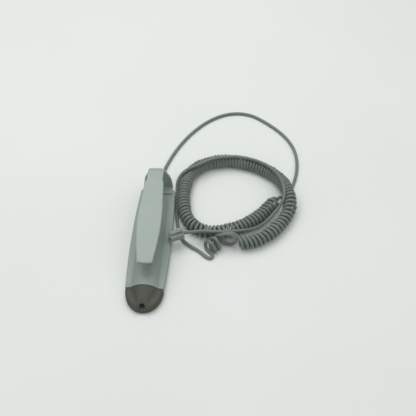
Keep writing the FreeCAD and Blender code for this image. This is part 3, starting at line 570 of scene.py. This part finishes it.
def cap_height(x, y):
    d = rim_distance(x, y)
    z = DECK - edge_drop(max(d, 0.0), 0.0024)
    t = min((SEAM_Y - y) / 0.0134, 1.0)
    half = DOME_HALF - 0.0060 * t
    rise = DOME_RISE - 0.0026 * t
    if abs(x) < half + 0.001:
        z = soft_max(z, DECK + bow(x, half, rise), 0.0012)
    z += 0.0004 * math.exp(-(x / 0.0052) ** 2) * ease(-0.0600, -0.0640, y)
    front = 0.0026 + (y - NOSE_Y) * 1.161 + 0.00007 * (1000 * x) ** 2
    return -soft_max(-z, -front, 0.0032)


def cap_mesh():
    arc_n, flat_n = 120, 44
    angles = [-math.pi / 2 + math.pi * i / arc_n for i in range(arc_n + 1)]
    hs = plan_half(SEAM_Y)
    rim_pts = [(NOSE_W * math.sin(a), min(SEAM_Y - NOSE_L * math.cos(a), SEAM_Y - 0.00012), True) for a in angles]
    rim_pts += [(hs - 2 * hs * i / flat_n, SEAM_Y - 0.00012, False) for i in range(1, flat_n)]
    n = len(rim_pts)
    ts = [0.0] + list(np.linspace(0.05, 0.80, 17)) + list(np.linspace(0.82, 0.97, 12)) + [0.978, 0.985, 0.991, 0.996, 1.0]
    cy = -0.0580
    verts, faces, rings = [(0.0, cy, cap_height(0.0, cy))], [], []
    for t in ts[1:]:
        start = len(verts)
        for x, y, _ in rim_pts:
            px, py = x * t, cy + (y - cy) * t
            verts.append((px, py, cap_height(px, py)))
        rings.append(start)
    # wall and underside
    def ring(inset, z):
        start = len(verts)
        for x, y, arc in rim_pts:
            if arc:
                nx, ny = x / NOSE_W ** 2, (y - SEAM_Y) / NOSE_L ** 2
                k = inset / math.hypot(nx, ny)
                verts.append((x - nx * k, min(y - ny * k, SEAM_Y - 0.00012), z))
            else:
                lim = hs - inset
                verts.append((max(-lim, min(lim, x)), y, z))
        rings.append(start)
    ring(0.0, 0.0019)
    for a in (0, 18, 36, 54, 72, 90):
        q = math.radians(a)
        ring(0.0015 * (1 - math.cos(q)), 0.0015 * (1 - math.sin(q)))
    start = len(verts)
    for x, y, _ in rim_pts:
        verts.append((x * 0.5, cy + (y - cy) * 0.5, 0.0))
    rings.append(start)
    c = len(verts)
    verts.append((0.0, cy, 0.0))
    for j in range(n):
        k = (j + 1) % n
        faces.append((0, rings[0] + j, rings[0] + k))
        faces.append((c, rings[-1] + k, rings[-1] + j))
    for a, b in zip(rings[:-1], rings[1:]):
        for j in range(n):
            k = (j + 1) % n
            faces.append((a + j, b + j, b + k, a + k))
    return mesh_object("nose_shell", verts, faces, M_CAP)


def drill(ob, place, axis, radius, depth, sides=48):
    """Cuts a round hole into a mesh."""
    a = Vector(axis).normalized()
    ring = []
    rot = a.to_track_quat("Z", "Y").to_matrix()
    prof = []
    for z in (0.0, depth):
        prof.append([Vector(place) + rot @ Vector((radius * math.cos(2 * math.pi * j / sides), radius * math.sin(2 * math.pi * j / sides), z)) for j in range(sides)])
    cutter = loft("cutter", [[tuple(p) for p in r] for r in prof], ob.data.materials[0])
    mod = ob.modifiers.new("hole", "BOOLEAN")
    mod.operation = "DIFFERENCE"
    mod.solver = "EXACT"
    mod.object = cutter
    dg = bpy.context.evaluated_depsgraph_get()
    me = bpy.data.meshes.new_from_object(ob.evaluated_get(dg))
    ob.modifiers.clear()
    old = ob.data
    ob.data = me
    bpy.data.meshes.remove(old)
    bpy.data.objects.remove(cutter)
    for p in ob.data.polygons:
        p.use_smooth = True


nose = cap_mesh()
drill(nose, (0, -0.076, 0.0056), (0, 1, 0), 0.0022, 0.0160)
sharpen(nose, 40)
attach(nose, "hand_unit")
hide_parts("nose_cap")

# ---------------------------------------------------------------- clip, one springy strip from its foot to its tip
T = 0.0026
BEND_Y, BEND_Z, BEND_R, BOW_R = 0.0485, 0.024, 0.012, 0.400
BOW_A = math.asin(0.0725 / 0.400)
plan_y = [-0.0425, -0.0397, -0.0358, -0.0319, -0.0279, -0.0240, -0.0175, -0.0109, -0.0044, 0.0022, 0.0088, 0.0154, 0.0220, 0.0286, 0.0352, 0.0419, 0.0485, 0.0620]
plan_w = [0.0059, 0.0061, 0.0065, 0.0071, 0.0077, 0.0082, 0.0090, 0.0096, 0.0098, 0.0098, 0.0097, 0.0093, 0.0088, 0.0084, 0.0079, 0.0073, 0.0067, 0.0066]


def arm_half(y):
    """Half width of the arm in plan, smoothed between its stations."""
    return float(np.mean([np.interp(y + d, plan_y, plan_w) for d in np.linspace(-0.003, 0.003, 7)]))


def leg_half(z):
    zs = [0.0070, 0.0104, 0.0154, 0.0203, 0.0228, 0.0250, 0.0280, 0.0310, 0.0360]
    ws = [0.0128, 0.0125, 0.0120, 0.0110, 0.0097, 0.0083, 0.0071, 0.0067, 0.0067]
    return float(np.mean([np.interp(z + d, zs, ws) for d in np.linspace(-0.0012, 0.0012, 5)]))


stations = []      # (outer y, z), (inner y, z), half width
for y in np.linspace(0.0516, 0.0568, 8):
    stations.append(((y, DECK), (y, DECK + 0.0016), 0.0128))
for a in np.linspace(0, math.pi / 2, 7):
    s_, c_ = math.sin(a), math.cos(a)
    stations.append(((0.0593 + 0.0012 * s_, DECK + 0.0012 - 0.0012 * c_), (0.0569 + 0.0010 * s_, DECK + 0.0026 - 0.0010 * c_), 0.0128))
for z in np.linspace(0.0102, 0.0240, 16):
    stations.append(((0.0605, z), (0.0579, z), leg_half(z)))
for a in np.linspace(0, math.pi / 2, 25)[1:]:
    s_, c_ = math.sin(a), math.cos(a)
    o_ = (BEND_Y + BEND_R * c_, BEND_Z + BEND_R * s_)
    i_ = (BEND_Y + (BEND_R - T) * c_, BEND_Z + (BEND_R - T) * s_)
    stations.append((o_, i_, leg_half(o_[1])))
for b in np.linspace(0, BOW_A, 46)[1:]:
    s_, c_ = math.sin(b), math.cos(b)
    o_ = (BEND_Y - BOW_R * s_, BEND_Z + BEND_R - BOW_R + BOW_R * c_)
    i_ = (BEND_Y - (BOW_R - T) * s_, BEND_Z + BEND_R - BOW_R + (BOW_R - T) * c_)
    stations.append((o_, i_, min(arm_half(o_[0]), leg_half(o_[1]) if o_[0] > 0.04 else 1)))
ca_, sa_ = math.cos(BOW_A), math.sin(BOW_A)
o_end, i_end = stations[-1][0], stations[-1][1]
TIP = 0.0156
for run in list(np.linspace(0, TIP - 0.0006, 14)[1:]):
    stations.append(((o_end[0] - run * ca_, o_end[1] - run * sa_), (i_end[0] - run * ca_, i_end[1] - run * sa_), arm_half(o_end[0] - run * ca_)))


def strip_ring(outer, inner, w, pinch=0.0, bulge=0.0, along=(0.0, 0.0)):
    """One closed section of the strip: flat inside, gently crowned outside, with rounded long edges."""
    o, i = np.array(outer), np.array(inner)
    nrm = (o - i)
    thick = np.linalg.norm(nrm)
    nrm = nrm / thick
    ro, ri = min(0.00085, thick * 0.42), min(0.00055, thick * 0.3)
    prof = []
    for x in np.linspace(-1, 1, 17):
        prof.append((x * (w - ri), 0.0))
    for a in (22.5, 45, 67.5, 90):
        q = math.radians(a)
        prof.append((w - ri + ri * math.sin(q), ri - ri * math.cos(q)))
    for a in (0, 18, 36, 54, 72, 90):
        q = math.radians(a)
        prof.append((w - ro + ro * math.cos(q), thick - ro + ro * math.sin(q)))
    for x in np.linspace(1, -1, 25)[1:-1]:
        prof.append((x * (w - ro), thick + 0.00030 * (1 - x * x)))
    for a in (90, 72, 54, 36, 18, 0):
        q = math.radians(a)
        prof.append((-(w - ro) - ro * math.cos(q), thick - ro + ro * math.sin(q)))
    for a in (90, 67.5, 45, 22.5):
        q = math.radians(a)
        prof.append((-(w - ri) - ri * math.sin(q), ri - ri * math.cos(q)))
    ring = []
    for x, h in prof:
        h = pinch + (h - 0.0) * (thick - 2 * pinch) / thick
        k = x * (w - pinch) / w
        shift = bulge * (1 - (x / w) ** 2)
        p = i + nrm * h
        ring.append((k, p[0] + along[0] * shift, p[1] + along[1] * shift))
    return ring


rings = []
first = stations[0]
for back, pin in ((0.0, 0.00055), (0.00012, 0.00028), (0.0004, 0.00008)):
    rings.append(strip_ring((first[0][0] - 0.0006 + back, first[0][1]), (first[1][0] - 0.0006 + back, first[1][1]), first[2], pin))
for o_, i_, w in stations:
    f = max(0.0, 1 - (math.hypot(o_[0] - stations[-1][0][0], o_[1] - stations[-1][0][1]) / 0.006))
    rings.append(strip_ring(o_, i_, w, bulge=0.0009 * f * f, along=(-ca_, -sa_)))
o_, i_, w = stations[-1]
for run, pin in ((0.0002, 0.00005), (0.0004, 0.00018), (0.00052, 0.00035), (0.0006, 0.0006)):
    rings.append(strip_ring((o_[0] - run * ca_, o_[1] - run * sa_), (i_[0] - run * ca_, i_[1] - run * sa_), w, pin, 0.0009, (-ca_, -sa_)))
clip = loft("spring_clip", rings, M_CLIP, sharp=50)
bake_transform(clip)
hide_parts("clip_root", "clip_arm")


# ---------------------------------------------------------------- grip pad under the tip
def prism(name, profile, half, material, bevel, segments=3):
    """A bar across X with that YZ profile and softened edges."""
    verts = [(-half, y, z) for y, z in profile] + [(half, y, z) for y, z in profile]
    k = len(profile)
    faces = [tuple(range(k)), tuple(range(2 * k - 1, k - 1, -1))] + [(j, (j + 1) % k, k + (j + 1) % k, k + j) for j in range(k)]
    ob = mesh_object(name, verts, faces, material)
    soften(ob, bevel, segments)
    return ob


def soften(ob, width, segments=3, angle=28):
    mod = ob.modifiers.new("soft_edges", "BEVEL")
    mod.width = width
    mod.segments = segments
    mod.limit_method = "ANGLE"
    mod.angle_limit = math.radians(angle)
    mod.harden_normals = False
    dg = bpy.context.evaluated_depsgraph_get()
    me = bpy.data.meshes.new_from_object(ob.evaluated_get(dg))
    ob.modifiers.clear()
    old = ob.data
    ob.data = me
    bpy.data.meshes.remove(old)
    for p in ob.data.polygons:
        p.use_smooth = True
    sharpen(ob, 35)


i_tip = (i_end[0] - 0.016 * ca_, i_end[1] - 0.016 * sa_)


def on_tip(run, drop):
    return (i_tip[0] + run * ca_ + drop * sa_, i_tip[1] + run * sa_ - drop * ca_)


teeth = [on_tip(0.0012, -0.0003), on_tip(0.0072, -0.0003), on_tip(0.0068, 0.0030), on_tip(0.0062, 0.0050), on_tip(0.0055, 0.0044), on_tip(0.0049, 0.0050),
         on_tip(0.0042, 0.0044), on_tip(0.0036, 0.0050), on_tip(0.0029, 0.0044), on_tip(0.0022, 0.0050), on_tip(0.0017, 0.0030)]
# The pad's dark material is painted shade for the shade under the clip's tip.
pad = prism("tip_pad", teeth, 0.0045, M_PAD_PAINTED_SHADE, 0.00028)
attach(pad, "clip")
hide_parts("grip_pad")

# ---------------------------------------------------------------- cord boot
boot_y = [0.0556, 0.0576, 0.0606, 0.0610, 0.0614]
boot_r = [0.0031, 0.0031, 0.0031, 0.00308, 0.0030]
y0 = 0.0614
for kk in range(5):
    base = 0.0030 - (kk * 0.00145 + 0.0004) * 0.062
    for dy, dr in ((0.00022, -0.0001), (0.00036, -0.0004), (0.00062, -0.00042), (0.00076, -0.0001), (0.00092, 0.0), (0.00125, 0.0)):
        boot_y.append(y0 + kk * 0.00145 + dy)
        boot_r.append(base + dr)
boot_y += [0.0689, 0.0692, 0.0693, 0.0693]
boot_r += [0.00245, 0.00225, 0.0019, 0.00155]
boot = tube("cord_boot", [(0.0, y, 0.0034) for y in boot_y[:-1]] + [(0.0, 0.06931, 0.0034)], boot_r, 40, M_BOOT)
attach(boot, "hand_unit")
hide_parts("strain_relief")


# ---------------------------------------------------------------- floor and light
bpy.ops.mesh.primitive_plane_add(size=3.0, location=(0.05, 0.05, 0.0))
floor = bpy.context.object
floor.name = "floor"
n = Nodes("floor_paper")
paper = n.noise(55.0, 6.0, 0.6)
col = n.mix(n.ramp(n.noise(5.0, 3.0, 0.5), 0.0, 1.0), srgb(226, 229, 227), srgb(230, 232, 231))
n.done(col, n.ramp(paper, 0.55, 0.7), n.bump(paper, 0.05, 0.0002), Specular_IOR_Level=0.25)
floor.data.materials.append(n.mat)

world = bpy.data.worlds.new("studio")
scene.world = world
world.use_nodes = True
wt = world.node_tree
sky = wt.nodes["Background"]
sky.inputs[0].default_value = (0.94, 0.97, 0.955, 1.0)
split = wt.nodes.new("ShaderNodeSeparateXYZ")
wt.links.new(wt.nodes.new("ShaderNodeTexCoord").outputs["Generated"], split.inputs[0])
ceiling = wt.nodes.new("ShaderNodeMapRange")       # a pale ceiling over darker walls
wt.links.new(split.outputs[2], ceiling.inputs["Value"])
ceiling.inputs["From Min"].default_value = 0.1
ceiling.inputs["From Max"].default_value = 0.95
ceiling.inputs["To Min"].default_value = 0.05
ceiling.inputs["To Max"].default_value = 1.08
wt.links.new(ceiling.outputs[0], sky.inputs[1])


def area(name, place, aim, size, power, colour=(1, 1, 1)):
    li = bpy.data.lights.new(name, "AREA")
    li.shape = "RECTANGLE"
    li.size, li.size_y = size
    li.energy = power
    li.color = colour
    ob = bpy.data.objects.new(name, li)
    scene.collection.objects.link(ob)
    ob.location = place
    ob.rotation_euler = (Vector(aim) - Vector(place)).to_track_quat("-Z", "Y").to_euler()
    return ob


area("key_soft_box", (-0.20, 0.42, 1.05), (0.05, 0.04, 0.0), (0.9, 0.7), 4.6, (1.0, 0.995, 0.98))
area("fill_soft_box", (0.75, -0.35, 0.75), (0.05, 0.04, 0.0), (0.7, 0.7), 0.35, (0.97, 1.0, 0.99))
